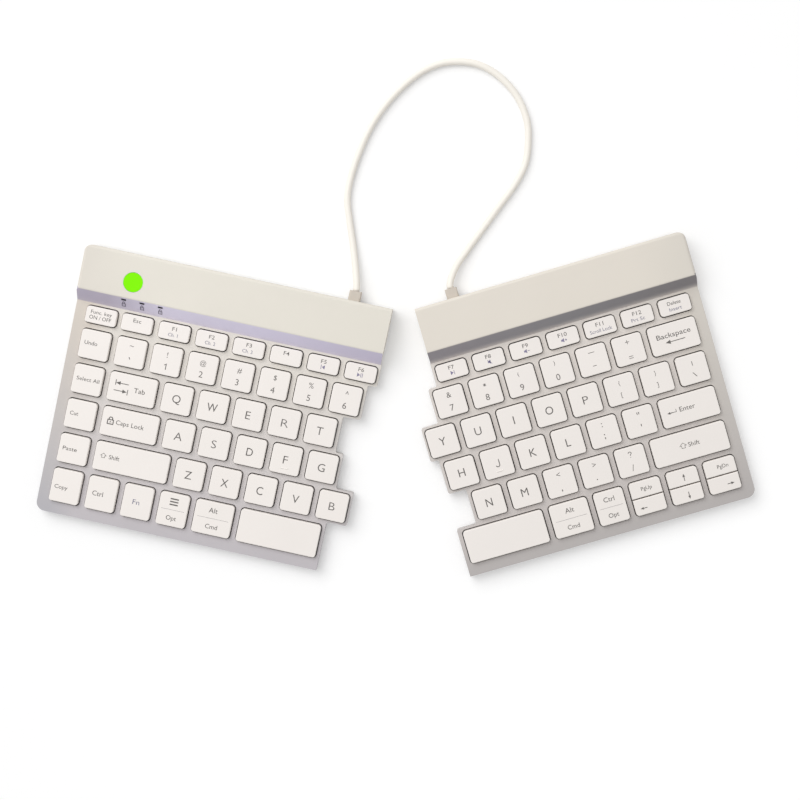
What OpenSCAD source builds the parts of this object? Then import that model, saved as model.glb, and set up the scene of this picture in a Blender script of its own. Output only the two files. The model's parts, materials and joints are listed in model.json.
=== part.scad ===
// Ergonomic split keyboard: two flat halves with a raised rear housing, joined by a short cable.
// Each half is drawn in its own frame: x runs along the rows, y towards the rear, z up from the desk.
// The left frame starts at the key left of "1", the right frame at the "7" key.

/* [Keys] */
// Distance between key centres along a row
key_pitch_x = 19; // [18:0.1:20]
// Distance between key rows
key_pitch_y = 18.5; // [17.5:0.1:19.5]
// Gap between neighbouring caps
cap_gap = 3.5; // [3:0.1:4.5]
// Distance between function key centres
function_pitch = 19.72; // [19:0.02:20]
// Depth of a function key cap
function_cap_d = 8.6; // [8:0.1:10]
// Depth of a cap in the front row
bottom_cap_d = 17.4; // [16.5:0.1:19]
// Width of each space key cap
space_cap_w = 42.4; // [38:0.1:42.8]
// Gap between the two caps of a split arrow column
half_key_split = 0.6; // [0.4:0.1:1]
// Plan corner radius of a cap
cap_corner_r = 1.8; // [1:0.1:3]
// Rounding along the top edges of a cap
cap_edge_r = 0.5; // [0.2:0.1:0.9]
// Height of a cap from its skirt to its top
cap_h = 3.2; // [3:0.1:4]
// Thickness of the top of a cap
cap_crown = 1.7; // [1.2:0.1:2]
// Wall of a cap's skirt
cap_wall = 1; // [0.8:0.1:1.4]
// How far the caps stand above the deck
cap_rise = 2.2; // [2:0.1:2.8]
// Clearance between a cap and its well in the deck
well_clearance = 0.55; // [0.4:0.05:0.8]

/* [Case] */
// Height of the deck above the desk
deck_z = 7; // [6.5:0.1:8]
// Thickness of the deck plate
deck_t = 1.5; // [1:0.1:2]
// Height of the rear housing above the desk
hump_z = 14; // [12:0.5:18]
// Depth of the flat top of the rear housing
hump_d = 23.2; // [20:0.1:30]
// Depth of the sloping front of the rear housing
slope_d = 6.2; // [4:0.1:9]
// Strip of deck between the function keys and the slope
rear_margin = 1.7; // [1.5:0.1:4]
// Strip of deck in front of the front row
front_margin = 6.5; // [5.2:0.1:9]
// Strip of deck outside the outer keys
side_margin = 6.2; // [5.6:0.1:9]
// Gap between the halves when they are pushed together
closed_gap = 0.6; // [0.4:0.1:1]
// Extra distance between the facing keys of the two halves
split_extra = 0.6; // [0.4:0.1:1]
// How far the deck stands out past the inner end of the rear housing
housing_step = 0.3; // [0:0.1:0.8]
// Plan radius of the outer corners
corner_r = 4.5; // [3:0.1:6]
// Plan radius of the corners of the inner steps
step_r = 1.1; // [0.6:0.1:1.6]
// Rounding of the rear housing's rear and end edges
hump_edge_r = 1.6; // [1:0.1:2.5]
// Rounding where the slope meets the top
slope_edge_r = 1.2; // [0.6:0.1:2]
// Wall of the moulded covers
wall = 1.3; // [1:0.1:1.5]
// Height of the lower rim of the covers above the desk
rim_z = 1.4; // [1.2:0.1:1.6]
// Thickness of the base cover
base_t = 1; // [0.8:0.1:1.2]
// Clearance between the base cover and the covers round it
base_clearance = 0.2; // [0.1:0.05:0.4]
// How far the deck runs in under the slope
tongue_d = 1.8; // [1:0.1:1.9]
// Width of the ledge inside the deck's skirt, over the edge of the base cover
ledge_w = 0.6; // [0.4:0.1:0.6]
// Height of that ledge
ledge_h = 1; // [0.8:0.1:1.2]

/* [Placing] */
// Angle of the left half, clockwise
left_splay = 12.2; // [0:0.1:30]
// Angle of the right half, anticlockwise
right_splay = 16.3; // [0:0.1:30]
// Gap between the two inner rear corners
rear_gap = 11.2; // [6:0.1:40]

/* [Inside] */
// Thickness of the steel support plate
plate_t = 0.4; // [0.3:0.05:0.5]
// Thickness of the printed circuit sheet
sheet_t = 0.3; // [0.2:0.05:0.4]
// Clearance round the support plate and the circuit sheet
plate_clearance = 0.5; // [0.3:0.1:1]
// Clearance between the key mechanism and the pieces above and below it
key_clearance = 0.3; // [0.2:0.05:0.4]
// Width of a scissor frame
scissor_w = 11.6; // [11:0.1:12]
// Length of a scissor frame under a full cap
scissor_d = 10.6; // [10:0.1:11.5]
// Length of a scissor frame under a half cap
small_scissor_d = 6; // [5.8:0.1:6.2]
// Width and thickness of a scissor bar
scissor_bar = 0.8; // [0.7:0.05:0.9]
// Clearance between the two frames of a scissor
scissor_clearance = 0.25; // [0.2:0.05:0.3]
// Diameter of a scissor's pivot pin
pivot_d = 0.4; // [0.3:0.05:0.5]
// Base diameter of the rubber dome under a full cap
dome_d = 7; // [6:0.1:7.4]
// Base diameter of the rubber dome under a half cap
small_dome_d = 3; // [2.6:0.1:3.2]
// Wall of a rubber dome
dome_wall = 0.5; // [0.4:0.05:0.6]

/* [Electrics] */
// Length of the battery
battery_w = 60; // [40:1:70]
// Depth of the battery
battery_d = 18; // [12:0.5:19]
// Thickness of the battery
battery_h = 6; // [4:0.5:8]
// Width of the controller board
board_w = 46; // [44:0.5:48]
// Thickness of the controller board
board_t = 1; // [0.8:0.1:1.6]
// Height of the posts under the controller board
board_post_h = 2.2; // [1.5:0.1:3]
// Width of the charging socket's shell
socket_w = 8.9; // [8.5:0.1:9.5]
// Height of the charging socket's shell
socket_h = 3.2; // [3:0.1:3.4]
// Length of the charging socket's shell
socket_d = 7.3; // [6:0.1:9]
// Wall of the charging socket's shell
socket_wall = 0.3; // [0.2:0.05:0.4]
// Width of the power switch's slider
switch_w = 3; // [2:0.1:4]
// Travel of the power switch
switch_travel = 2; // [1.5:0.1:3]
// Diameter of the round status lamp
status_lamp_d = 10; // [6:0.5:12]
// Width of a lock lamp
lock_lamp_w = 2.3; // [1.8:0.1:3]
// Thickness of a lock lamp
lock_lamp_t = 0.6; // [0.6:0.1:1]
// Distance between the lock lamps
lock_lamp_pitch = 9.65; // [7:0.05:12]
// Clearance round lamps, socket, switch and cable grips in the rear housing
port_clearance = 0.15; // [0.1:0.05:0.3]

/* [Fasteners and feet] */
// Shank diameter of a case screw
screw_d = 1.6; // [1.4:0.1:2]
// Head diameter of a case screw
screw_head_d = 3.2; // [2.8:0.1:3.6]
// Length of a case screw
screw_l = 4; // [3.5:0.1:4.2]
// Outside diameter of a screw boss
boss_d = 3; // [2.8:0.1:3.4]
// Clearance between a screw and its boss
screw_clearance = 0.1; // [0.05:0.05:0.2]
// Length of a rubber foot
foot_w = 26; // [15:1:35]
// Depth of a rubber foot
foot_d = 6; // [4:0.5:10]
// Thickness of a rubber foot
foot_t = 1; // [0.8:0.1:1.1]

/* [Cable] */
// Diameter of the link cable
cable_d = 3.5; // [3:0.1:4]
// Height of the cable grips' centre above the desk
grip_z = 5.2; // [4.5:0.1:7]
// Width of a cable grip
grip_w = 6.3; // [5.5:0.1:8]
// Length of a cable grip behind the case
grip_l = 5.1; // [4:0.1:8]
// Height of a cable grip
grip_h = 5.4; // [5:0.1:6.5]
// Distance from a cable grip to the inner end of the rear housing
grip_inset = 20.6; // [12:0.1:40]

/* [Hidden] */
$fn = 48;
LEFT = 0;
RIGHT = 1;
tiny = 0.01;
// How far a cut runs past the piece that it cuts
overcut = 1;
far = 400;

// Caps and rows, from the function row to the front row
cap_w = key_pitch_x - cap_gap;
cap_d = key_pitch_y - cap_gap;
function_cap_w = function_pitch - cap_gap;
FUNCTION = 0;
NUMBER = 1;
UPPER = 2;
HOME = 3;
LOWER = 4;
BOTTOM = 5;
row_d = [function_cap_d, cap_d, cap_d, cap_d, cap_d, bottom_cap_d];
row_y = [
    cap_d / 2 + cap_gap + function_cap_d / 2,
    0,
    -key_pitch_y,
    -2 * key_pitch_y,
    -3 * key_pitch_y,
    -3 * key_pitch_y - cap_d / 2 - cap_gap - bottom_cap_d / 2
];
half_cap_d = (bottom_cap_d - half_key_split) / 2;
half_key_shift = (half_cap_d + half_key_split) / 2;

// A key is its centre, width and depth
function key(x, row, w) = [x, row_y[row], w, row_d[row]];
function unit_key(place, row, units = 1) =
    key(place * key_pitch_x, row, units * key_pitch_x - cap_gap);
function unit_row(first, count, row) = [for (i = [0 : count - 1]) unit_key(first + i, row)];

// Where the letters of the left half begin, in key pitches, and how many keys each row has there
left_numbers = 7;
left_row_letters = 5;
upper_start = 1.5;
home_start = 1.75;
lower_start = 2.25;
last_function = 6;

// Left half: the function keys line up with the left edges of the keys under the first two
left_function_x = -cap_w / 2 + function_cap_w / 2;
left_function_row = concat(
    [key(left_function_x - key_pitch_x, FUNCTION, function_cap_w)],
    [for (i = [0 : last_function]) key(left_function_x + i * function_pitch, FUNCTION, function_cap_w)]);
left_number_row = unit_row(0, left_numbers, NUMBER);
left_letters = concat(
    unit_row(upper_start, left_row_letters, UPPER),
    unit_row(home_start, left_row_letters, HOME),
    unit_row(lower_start, left_row_letters, LOWER));
left_letter_names = ["q", "w", "e", "r", "t", "a", "s", "d", "f", "g", "z", "x", "c", "v", "b"];
left_alt_w = 1.25 * key_pitch_x - cap_gap;
left_alt_x = 2 * key_pitch_x + cap_w / 2 + cap_gap + left_alt_w / 2;
left_space_x = left_alt_x + left_alt_w / 2 + cap_gap + space_cap_w / 2;
left_control = concat(
    [for (row = [NUMBER : BOTTOM]) unit_key(-1, row)],
    [unit_key(0.25, UPPER, 1.5), unit_key(0.375, HOME, 1.75), unit_key(0.625, LOWER, 2.25)],
    unit_row(0, 3, BOTTOM),
    [key(left_alt_x, BOTTOM, left_alt_w)]);
left_space_keys = [key(left_space_x, BOTTOM, space_cap_w)];

// Right half: every row goes on where the left one ends, and they end at the same right edge
right_edge_x = 6.5 * key_pitch_x + cap_w / 2;
right_function_x = right_edge_x - function_cap_w / 2;
// How far the function row reaches past that edge
function_row_shift = 0.35;
right_function_row = [
    for (i = [last_function : -1 : 0])
        key(right_function_x + function_row_shift - i * function_pitch, FUNCTION, function_cap_w)
];
right_upper_start = upper_start + left_row_letters - left_numbers;
right_home_start = home_start + left_row_letters - left_numbers;
right_lower_start = lower_start + left_row_letters - left_numbers;
right_signs = concat(
    unit_row(0, 6, NUMBER),
    unit_row(right_upper_start + 5, 3, UPPER),
    unit_row(right_home_start + 4, 2, HOME),
    unit_row(right_lower_start + 2, 3, LOWER));
right_letters = concat(
    unit_row(right_upper_start, 5, UPPER),
    unit_row(right_home_start, 4, HOME),
    unit_row(right_lower_start, 2, LOWER));
right_letter_names = ["y", "u", "i", "o", "p", "h", "j", "k", "l", "n", "m"];
arrow_columns =
    [for (i = [2 : -1 : 0]) key(right_function_x - i * function_pitch, BOTTOM, function_cap_w)];
right_ctrl_x = arrow_columns[0][0] - function_cap_w / 2 - cap_gap - cap_w / 2;
right_alt_w = left_alt_w;
right_alt_x = right_ctrl_x - cap_w / 2 - cap_gap - right_alt_w / 2;
right_space_x = right_alt_x - right_alt_w / 2 - cap_gap - space_cap_w / 2;
right_wide = [
    unit_key(6.25, NUMBER, 1.5),
    unit_key(6.125, HOME, 1.75),
    unit_key(5.875, LOWER, 2.25),
    key(right_alt_x, BOTTOM, right_alt_w),
    key(right_ctrl_x, BOTTOM, cap_w)
];
// A half key also says which half of its column it is: -1 in front, 1 behind
arrow_keys = [
    for (column = arrow_columns, side = [-1, 1])
        [column[0], column[1] + side * half_key_shift, column[2], half_cap_d, side]
];
right_control = concat(right_wide, arrow_keys);
right_space_keys = [key(right_space_x, BOTTOM, space_cap_w)];

keys = [
    concat(left_function_row, left_number_row, left_letters, left_control, left_space_keys),
    concat(right_function_row, right_signs, right_letters, right_control, right_space_keys)
];
wells = [
    keys[LEFT],
    concat(right_function_row, right_signs, right_letters, right_wide, arrow_columns, right_space_keys)
];

// The split line runs about midway between the facing caps of each row when the halves are together
closed_pitch = left_numbers * key_pitch_x + split_extra;
function split_after(place) = (place - 0.5) * key_pitch_x + split_extra / 2;
// How far it lies right of the middle, from the function row to the front row
split_shift = [0, 0, 0.35, -0.2, -0.3, -0.3];
split_x = split_shift + [
    (left_function_x + closed_pitch + right_function_x) / 2,
    split_after(left_numbers),
    split_after(upper_start + left_row_letters),
    split_after(home_start + left_row_letters),
    split_after(lower_start + left_row_letters),
    (left_space_x + closed_pitch + right_space_x) / 2
];

// Case edges
front_y = row_y[BOTTOM] - bottom_cap_d / 2 - front_margin;
foot_y = row_y[FUNCTION] + function_cap_d / 2 + rear_margin;
top_y = foot_y + slope_d;
rear_y = top_y + hump_d;
outer_x = [-key_pitch_x - cap_w / 2 - side_margin, right_edge_x + side_margin];
// Inner ends of the rear housings
end_margin = closed_gap / 2 + housing_step;
inner_x = [split_x[FUNCTION] - end_margin, split_x[FUNCTION] + end_margin - closed_pitch];
slope_angle = atan((hump_z - deck_z) / slope_d);

// Heights
base_z = foot_t;
plate_z = base_z + base_t;
sheet_z = plate_z + plate_t;
mechanism_z = sheet_z + sheet_t;
ledge_z = plate_z + base_clearance;
cap_top_z = deck_z + cap_rise;
cap_bottom_z = cap_top_z - cap_h;
crown_z = cap_top_z - cap_crown;

// Placing of the halves, with the origin in the middle of the whole outline
function turned(p, a) = [p[0] * cos(a) - p[1] * sin(a), p[0] * sin(a) + p[1] * cos(a)];
half_turn = [-left_splay, right_splay];
half_pivot = [[-rear_gap / 2, 0], [rear_gap / 2, 0]];
function placed(half, p) =
    half_pivot[half] + turned(p - [inner_x[half], rear_y], half_turn[half]);
// Round corners count by their centre, sharp inner corners as they are
outline_rounds = [
    for (half = [LEFT, RIGHT], y = [front_y + corner_r, rear_y - corner_r])
        placed(half, [outer_x[half] + (half == LEFT ? corner_r : -corner_r), y])
];
outline_points = [
    placed(LEFT, [split_x[BOTTOM] - closed_gap / 2, front_y]),
    placed(RIGHT, [split_x[BOTTOM] + closed_gap / 2 - closed_pitch, front_y]),
];
function lowest(axis) = min(min([for (p = outline_rounds) p[axis] - corner_r]),
                            min([for (p = outline_points) p[axis]]));
function highest(axis) = max(max([for (p = outline_rounds) p[axis] + corner_r]),
                             max([for (p = outline_points) p[axis]]));
middle = [(lowest(0) + highest(0)) / 2, (lowest(1) + highest(1)) / 2];

// Pieces in the rear housing: the board at its outer end, then the battery
board_side_gap = 1.5;
board_front_gap = 4.4;
board_rear_gap = 0.2;
board_corner_r = 1;
board_x = outer_x[LEFT] + wall + board_side_gap + board_w / 2;
board_end_x = board_x + board_w / 2;
board_front_y = foot_y + board_front_gap;
board_rear_y = rear_y - wall - port_clearance - board_rear_gap;
board_z = plate_z + board_post_h;
board_top_z = board_z + board_t;
post_inset = 2;
battery_gap = 8;
battery_x = board_end_x + battery_gap + battery_w / 2;
battery_y = (top_y + rear_y) / 2;

// The switch and the socket are soldered to the board, side by side at its rear edge
switch_inset = 8.15;
port_pitch = 16;
switch_x = board_end_x - switch_inset;
socket_x = switch_x - port_pitch;
switch_h = 2;
slider_d = 2;

// The lamps stand on the board too, nearer its middle
status_lamp_shift_x = 2.25;
status_lamp_x = board_x + status_lamp_shift_x;
status_lamp_shift_y = -3;
status_lamp_y = (top_y + rear_y) / 2 + status_lamp_shift_y;
lock_lamp_shift_x = 8.65;
lock_lamp_x = board_x + lock_lamp_shift_x;
lock_lamp_inset = 1.2;
lock_lamp_y = top_y - lock_lamp_inset;

// The cable grips go through the rear wall by a neck, with a flange inside
grip_x = [inner_x[LEFT] - grip_inset, inner_x[RIGHT] + grip_inset];
grip_corner_r = 0.8;
neck_step = 0.85;
neck_w = grip_w - 2 * neck_step;
neck_h = grip_h - 2 * neck_step;
flange_t = 1;

// Screws: two along the front and two under the rear housing of each half
front_screw_y = (row_y[BOTTOM] - bottom_cap_d / 2 - well_clearance + front_y + wall) / 2;
rear_screw_y = (top_y + rear_y) / 2;
screw_outer_inset = 9;
screw_front_inset = 14;
screw_rear_inset = 7;
inward = [1, -1];
front_inner_x = [split_x[BOTTOM], split_x[BOTTOM] - closed_pitch];
deck_screws = [
    for (half = [LEFT, RIGHT])
        [[outer_x[half] + inward[half] * screw_outer_inset, front_screw_y],
         [front_inner_x[half] - inward[half] * screw_front_inset, front_screw_y]]
];
hump_screws = [
    [[board_end_x + battery_gap / 2, rear_screw_y], [inner_x[LEFT] - screw_rear_inset, rear_screw_y]],
    [[outer_x[RIGHT] - screw_outer_inset, rear_screw_y], [inner_x[RIGHT] + screw_rear_inset, rear_screw_y]]
];

// Feet: clear of the screws, two along the front and two along the rear of each half
foot_outer_gap = 8;
foot_inner_gap = 12;
foot_front_gap = 20;
foot_front_inset = 14;
foot_rear_inset = 8;
foot_front_y = front_y + foot_front_inset;
foot_rear_y = rear_y - foot_rear_inset;
feet = [
    for (half = [LEFT, RIGHT])
        let (x_out = outer_x[half] + inward[half] * (foot_w / 2 + foot_outer_gap),
             x_rear = inner_x[half] - inward[half] * (foot_w / 2 + foot_inner_gap),
             x_front = front_inner_x[half] - inward[half] * (foot_w / 2 + foot_front_gap))
        [[x_out, foot_front_y], [x_front, foot_front_y], [x_out, foot_rear_y], [x_rear, foot_rear_y]]
];

// Cable route from the left grip to the right one, as it lies on the desk: x, y and lift
desk_clearance = 0.05;
cable_lay_z = cable_d / 2 + desk_clearance;
cable_route = [
    [-19, 68.5, 2.2], [-20.5, 82.5, 0.4], [-22.5, 96.5, 0], [-23.5, 107.5, 0], [-21.5, 118.5, 0],
    [-17, 131.5, 0], [-10.5, 145, 0], [-1, 158, 0], [11, 169, 0], [22.5, 175, 0], [34, 176.5, 0],
    [45, 174.5, 0], [55, 168.5, 0], [63.5, 159, 0], [68.5, 147.5, 0], [69.5, 136.5, 0], [68, 124.5, 0],
    [62.5, 113.5, 0], [54.5, 102.5, 0], [46.5, 91.5, 0], [38.5, 80.5, 0.4], [32, 70.5, 2.2]
];
cable_steps = 2;
cable_sides = 8;
cable_end_pull = 9;

// Ends of the cable: where it leaves each grip, and the direction it leaves in
function cable_exit(half) = placed(half, [grip_x[half], rear_y + grip_l]) - middle;
function cable_direction(half) = turned([0, 1], half_turn[half]);
cable_points = concat(
    [[each cable_exit(LEFT), grip_z]],
    [for (p = cable_route) [p[0], p[1], cable_lay_z + p[2]]],
    [[each cable_exit(RIGHT), grip_z]]);
cable_last = len(cable_points) - 1;
// Tangent at each point: along the grips at the ends, and along the neighbours between them
function cable_tangent(i) =
    i == 0 ? [each cable_direction(LEFT) * cable_end_pull, 0] :
    i == cable_last ? [each -cable_direction(RIGHT) * cable_end_pull, 0] :
    (cable_points[i + 1] - cable_points[i - 1]) / 2;
function hermite(a, b, ta, tb, t) =
    a * (2 * t * t * t - 3 * t * t + 1) + ta * (t * t * t - 2 * t * t + t)
    + b * (3 * t * t - 2 * t * t * t) + tb * (t * t * t - t * t);
function above_desk(p) = [p[0], p[1], max(p[2], cable_lay_z)];
cable_line = concat(
    [for (i = [0 : cable_last - 1], step = [0 : cable_steps - 1])
        above_desk(hermite(cable_points[i], cable_points[i + 1],
                           cable_tangent(i), cable_tangent(i + 1), step / cable_steps))],
    [cable_points[cable_last]]);

// Colours
housing_colour = "#e8e3da";
deck_colour = "#d6cfc8";
base_colour = "#d2ccc4";
cap_colour = "#f1efec";
cable_colour = "#f0e8da";
grip_colour = "#cdc5bc";
steel_colour = "#a8abae";
sheet_colour = "#b9c4b4";
dome_colour = "#e4e6e8";
scissor_colour = "#f4f4f2";
rubber_colour = "#8d8b89";
board_colour = "#2f6a45";
battery_colour = "#c3c7cc";
lamp_colour = "#84f018";

// Puts a half's frame where it lies on the desk
module half_frame(half)
    translate(half_pivot[half] - middle)
        rotate(half_turn[half])
            translate([-inner_x[half], -rear_y])
                children();

// Rectangle with round corners, about its centre
module rounded_rect(w, d, r) {
    square([w - 2 * r, d], center = true);
    square([w, d - 2 * r], center = true);
    for (x = [-1, 1], y = [-1, 1])
        translate([x * (w / 2 - r), y * (d / 2 - r)])
            circle(r);
}

// Plan outline of a half: round outer corners, and steps that follow the rows inside
module plan(half, inset = 0) {
    margin = closed_gap / 2 + inset;
    shift = half == LEFT ? 0 : closed_pitch;
    inward = half == LEFT ? 1 : -1;
    // Of two neighbouring rows, the one that reaches further in, and on which side of the other it lies
    longer = [for (row = [FUNCTION : LOWER])
        inward * (split_x[row] - split_x[row + 1]) > 0 ? row : row + 1];
    behind = [for (row = [FUNCTION : LOWER]) longer[row] == row ? 1 : -1];
    difference() {
        if (half == LEFT)
            outer_plan(outer_x[LEFT], inset);
        else
            mirror([1, 0])
                outer_plan(-outer_x[RIGHT], inset);
        for (row = [FUNCTION : BOTTOM]) {
            y_top = row == FUNCTION ? far : band_y(row - 1) + margin;
            y_low = row == BOTTOM ? -far : band_y(row) - margin;
            x_cut = split_x[row] - shift;
            translate([half == LEFT ? x_cut - margin : x_cut + margin - far, y_low])
                square([far, y_top - y_low]);
        }
        translate([half == LEFT ? inner_x[LEFT] - inset : inner_x[RIGHT] + inset - far, foot_y - inset])
            square([far, far]);
        if (inset == 0)
            for (row = [FUNCTION : LOWER])
                corner_rest([split_x[longer[row]] - shift - inward * margin,
                             band_y(row) + behind[row] * margin],
                            [inward, -behind[row]], step_r);
    }
    if (inset == 0)
        for (row = [FUNCTION : LOWER])
            corner_rest([split_x[2 * row + 1 - longer[row]] - shift - inward * margin,
                         band_y(row) + behind[row] * margin],
                        [-inward, behind[row]], step_r);
}

// What a round leaves of a square corner, which lies along d from the middle of the round
module corner_rest(corner, d, r)
    difference() {
        translate(corner - (r - overcut) / 2 * d)
            square(r + overcut, center = true);
        translate(corner - r * d)
            circle(r);
    }

// Line midway between a row of caps and the next row in front
function band_y(row) =
    (row_y[row] - row_d[row] / 2 + row_y[row + 1] + row_d[row + 1] / 2) / 2;

module outer_plan(x_outer, inset) {
    r = corner_r - inset;
    x = x_outer + inset;
    y_front = front_y + inset;
    y_rear = rear_y - inset;
    translate([x + r, y_front])
        square([far, y_rear - y_front]);
    translate([x, y_front + r])
        square([far, y_rear - y_front - 2 * r]);
    for (y = [y_front + r, y_rear - r])
        translate([x + r, y])
            circle(r);
}

// Band of the plan from one y to another
module plan_band(half, y_low, y_high, inset = 0)
    intersection() {
        plan(half, inset);
        translate([-far, y_low])
            square([2 * far, y_high - y_low]);
    }

// Solid along x from a profile of y and z
module along_x(length)
    translate([-length / 2, 0, 0])
        rotate([90, 0, 90])
            linear_extrude(length)
                children();

// Solid along y from a profile of x and z
module along_y(length)
    translate([0, length / 2, 0])
        rotate([90, 0, 0])
            linear_extrude(length)
                children();

// Profile with round upper corners, standing on z = 0
module arched(w, h, r) {
    translate([-w / 2, 0])
        square([w, h - r]);
    translate([-w / 2 + r, 0])
        square([w - 2 * r, h]);
    for (x = [-1, 1])
        translate([x * (w / 2 - r), h - r])
            circle(r);
}

// Key cap: hollow, with round plan corners and rounded top edges
module cap(k)
    translate([k[0], k[1], cap_bottom_z])
        difference() {
            intersection() {
                linear_extrude(cap_h)
                    cap_plan(k);
                along_y(2 * k[3])
                    arched(k[2], cap_h, cap_edge_r);
                along_x(2 * k[2])
                    arched(k[3], cap_h, cap_edge_r);
            }
            translate([0, 0, -overcut])
                linear_extrude(cap_h - cap_crown + overcut)
                    rounded_rect(k[2] - 2 * cap_wall, k[3] - 2 * cap_wall, cap_corner_r - cap_wall / 2);
        }

// Outline of a cap: a half key is one half of the round-cornered cap of its column
module cap_plan(k)
    if (is_undef(k[4]))
        rounded_rect(k[2], k[3], cap_corner_r);
    else
        intersection() {
            square([k[2], k[3]], center = true);
            translate([0, -k[4] * half_key_shift])
                rounded_rect(k[2], bottom_cap_d, cap_corner_r);
        }

// Homing bar near the front edge of a cap
module homing_bar(k) {
    bar_w = 3.6;
    bar_r = 0.5;
    bar_rise = 0.25;
    bar_inset = 3;
    translate([k[0] - bar_w / 2, k[1] - k[3] / 2 + bar_inset, cap_top_z - bar_r + bar_rise])
        rotate([0, 90, 0])
            cylinder(r = bar_r, h = bar_w);
}

module caps(half, list)
    color(cap_colour)
        half_frame(half)
            for (k = list)
                cap(k);

module letter_key(half, k, name)
    color(cap_colour)
        half_frame(half) {
            cap(k);
            if (name == "f" || name == "j")
                homing_bar(k);
        }

// Deck: plate with a well for every key, a skirt with a ledge round the edge and a tongue under the slope
module deck(half)
    color(deck_colour)
        half_frame(half) {
            difference() {
                translate([0, 0, rim_z])
                    linear_extrude(deck_z - rim_z)
                        plan_band(half, -far, foot_y);
                linear_extrude(deck_z - deck_t)
                    plan(half, wall);
                for (k = wells[half])
                    translate([k[0], k[1], ledge_z + ledge_h])
                        linear_extrude(far)
                            rounded_rect(k[2] + 2 * well_clearance, k[3] + 2 * well_clearance,
                                         cap_corner_r + well_clearance);
            }
            translate([0, 0, ledge_z])
                linear_extrude(ledge_h)
                    difference() {
                        plan_band(half, -far, foot_y - wall, wall / 2);
                        plan(half, wall + ledge_w);
                    }
            translate([0, 0, deck_z - deck_t])
                linear_extrude(deck_t)
                    plan_band(half, foot_y - tiny, foot_y + tongue_d, wall + base_clearance);
            for (p = deck_screws[half])
                screw_boss(p, deck_z - deck_t + tiny);
        }

// Tube for a screw, from the base cover up to the cover that it holds
module screw_boss(p, z_top)
    translate([p[0], p[1], plate_z])
        difference() {
            cylinder(d = boss_d, h = z_top - plate_z);
            translate([0, 0, -overcut])
                cylinder(d = screw_d + 2 * screw_clearance, h = screw_l + overcut);
        }

// Side profile of the rear housing: slope, flat top and rear wall, with round edges
module hump_profile() {
    slope_cut = slope_edge_r * tan(slope_angle / 2);
    polygon([
        [foot_y, rim_z],
        [foot_y, deck_z],
        [top_y - slope_cut * cos(slope_angle), hump_z - slope_cut * sin(slope_angle)],
        [top_y + slope_cut, hump_z],
        [rear_y - hump_edge_r, hump_z],
        [rear_y, hump_z - hump_edge_r],
        [rear_y, rim_z]
    ]);
    translate([top_y + slope_cut, hump_z - slope_edge_r])
        circle(slope_edge_r);
    translate([rear_y - hump_edge_r, hump_z - hump_edge_r])
        circle(hump_edge_r);
}

// Hollow of the rear housing, open below and towards the deck
module hump_hollow_profile() {
    slope_shift = wall / sin(slope_angle);
    top_shift = slope_shift - wall / tan(slope_angle);
    polygon([
        [foot_y - overcut, -overcut],
        [foot_y - overcut, deck_z],
        [foot_y + slope_shift, deck_z],
        [top_y + top_shift, hump_z - wall],
        [rear_y - wall, hump_z - wall],
        [rear_y - wall, -overcut]
    ]);
}

// End profile of the rear housing, rounded at the outer end only
module hump_end_profile(half)
    mirror([half == LEFT ? 0 : 1, 0])
        translate([half == LEFT ? outer_x[LEFT] : -outer_x[RIGHT], 0]) {
            square([far, hump_z - hump_edge_r]);
            translate([hump_edge_r, 0])
                square([far, hump_z]);
            translate([hump_edge_r, hump_z - hump_edge_r])
                circle(hump_edge_r);
        }

module rear_cover(half)
    color(housing_colour)
        half_frame(half) {
            difference() {
                intersection() {
                    along_x(2 * far)
                        hump_profile();
                    linear_extrude(hump_z + overcut)
                        plan(half);
                    along_y(2 * far)
                        hump_end_profile(half);
                }
                intersection() {
                    along_x(2 * far)
                        hump_hollow_profile();
                    translate([0, 0, -overcut])
                        linear_extrude(hump_z + overcut)
                            plan(half, wall);
                }
                translate([grip_x[half], rear_y, grip_z])
                    cube([neck_w + 2 * port_clearance, 4 * wall, neck_h + 2 * port_clearance],
                         center = true);
                if (half == LEFT)
                    left_cover_ports();
            }
            for (p = hump_screws[half])
                screw_boss(p, hump_z - wall + tiny);
        }

// Openings of the left rear cover for the lamps, the charging socket and the switch
module left_cover_ports() {
    translate([status_lamp_x, status_lamp_y, hump_z - 2 * wall])
        cylinder(d = status_lamp_d + 2 * port_clearance, h = 4 * wall);
    for (i = [-1, 0, 1])
        lock_lamp(i, port_clearance);
    translate([socket_x, rear_y, board_top_z + socket_h / 2])
        along_y(4 * wall)
            rounded_rect(socket_w + 2 * port_clearance, socket_h + 2 * port_clearance,
                         socket_h / 2 + port_clearance - tiny);
    translate([switch_x, rear_y, board_top_z + switch_h / 2])
        cube([switch_w + switch_travel + 2 * port_clearance, 4 * wall, switch_h + 2 * port_clearance],
             center = true);
}

// Base cover: flat plate inside the rim of the covers, with countersunk screw holes and board posts
module base_cover(half)
    color(base_colour)
        half_frame(half) {
            difference() {
                translate([0, 0, base_z])
                    linear_extrude(base_t)
                        plan(half, wall + base_clearance);
                for (p = concat(deck_screws[half], hump_screws[half]))
                    translate([p[0], p[1], 0])
                        screw_body(screw_clearance);
            }
            if (half == LEFT)
                for (x = [-1, 1], y = [board_front_y + post_inset, board_rear_y - post_inset])
                    translate([board_x + x * (board_w / 2 - post_inset), y, plate_z - tiny])
                        cylinder(d = boss_d, h = board_post_h + tiny);
        }

// Countersunk screw standing on its head, with room round it for a hole
module screw_body(room = 0) {
    head_h = (screw_head_d - screw_d) / 2;
    translate([0, 0, base_z])
        cylinder(d1 = screw_head_d + 2 * room, d2 = screw_d + 2 * room, h = head_h);
    translate([0, 0, base_z])
        cylinder(d = screw_d + 2 * room, h = screw_l);
    if (room > 0)
        translate([0, 0, base_z - overcut])
            cylinder(d = screw_head_d + 2 * room, h = overcut + tiny);
}

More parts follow.
